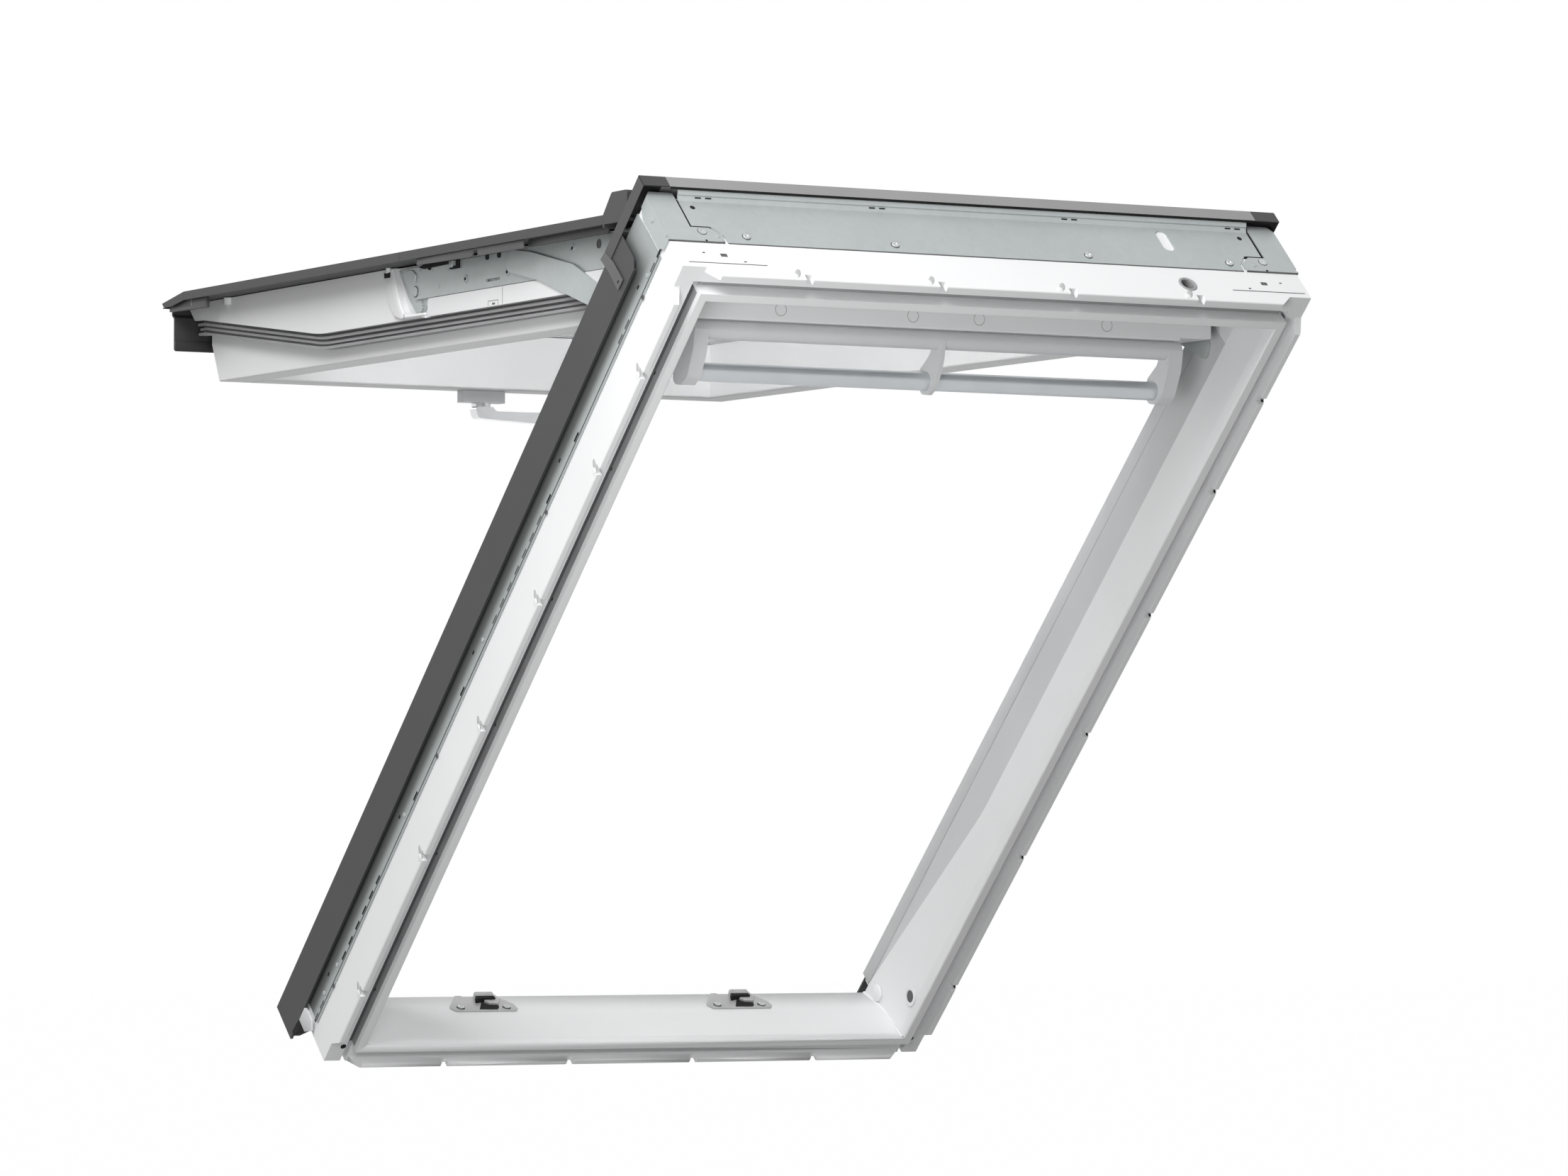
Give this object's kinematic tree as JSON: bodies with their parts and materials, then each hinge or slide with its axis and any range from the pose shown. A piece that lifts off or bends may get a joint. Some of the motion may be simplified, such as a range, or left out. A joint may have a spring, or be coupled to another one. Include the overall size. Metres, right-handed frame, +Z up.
{
  "type": "roof window",
  "caption": "Top-hung roof window in white moulded plastic with metal outer covers, its sash swung out level over a frame at 45 degrees, with a ventilation bar and a bottom handle.",
  "frame": {"origin": "centre of the sill's flat outer face, at the low end of the frame", "axes": "+X to the window's right seen from the room, +Y level from the room to the outside, +Z up; the frame lies at a 45 degree roof pitch"},
  "size_m": [0.795, 1.2833, 0.9414],
  "materials": {
    "white_plastic": "satin",
    "galvanised": "dull",
    "cladding": "satin",
    "black_plastic": "matt",
    "seal": "matt",
    "glass": "clear",
    "spacer": "satin",
    "satin_metal": "satin",
    "vent_plastic": "satin"
  },
  "bodies": {
    "window": {"cable_grommet": "seal", "corner_bracket_left": "galvanised", "corner_bracket_right": "galvanised", "corner_cap_left": "black_plastic", "corner_cap_right": "black_plastic", "frame_head": "white_plastic", "frame_jamb_left": "white_plastic", "frame_jamb_right": "white_plastic", "frame_sill": "white_plastic", "gasket_bottom": "seal", "gasket_left": "seal", "gasket_right": "seal", "handle_base": "white_plastic", "head_cover": "cladding", "head_plate": "galvanised", "hinge_arm_left": "galvanised", "hinge_arm_right": "galvanised", "hinge_bracket_left": "galvanised", "hinge_bracket_right": "galvanised", "inner_pane": "glass", "outer_pane": "glass", "pane_spacer": "spacer", "pivot_plate_left": "galvanised", "pivot_plate_right": "galvanised", "sash_bottom_cover": "cladding", "sash_bottom_rail": "white_plastic", "sash_cover_left": "cladding", "sash_cover_right": "cladding", "sash_hood": "cladding", "sash_stile_left": "white_plastic", "sash_stile_right": "white_plastic", "sash_top_rail": "white_plastic", "side_cover_left": "cladding", "side_cover_right": "cladding", "side_plate_left": "galvanised", "side_plate_right": "galvanised", "stay_bar_left": "galvanised", "stay_bar_right": "galvanised", "striker_left": "galvanised", "striker_right": "galvanised"},
    "handle": {"handle_lever": "satin_metal"},
    "vent_bar": {"vent_tube": "vent_plastic", "pull_tube": "vent_plastic", "vent_bracket_left": "vent_plastic", "vent_bracket_middle": "vent_plastic", "vent_bracket_right": "vent_plastic"}
  },
  "joints": [
    {"name": "handle_turn", "type": "hinge", "parent": "window", "child": "handle", "pos_m": [0, 0.34194, 0.75636], "axis": [0, 0, 1], "range_deg": [-90, 0]},
    {"name": "vent_bar_tilt", "type": "hinge", "parent": "window", "child": "vent_bar", "pos_m": [0, -0.72336, 0.75456], "axis": [1, 0, 0], "range_deg": [0, 45]}
  ]
}
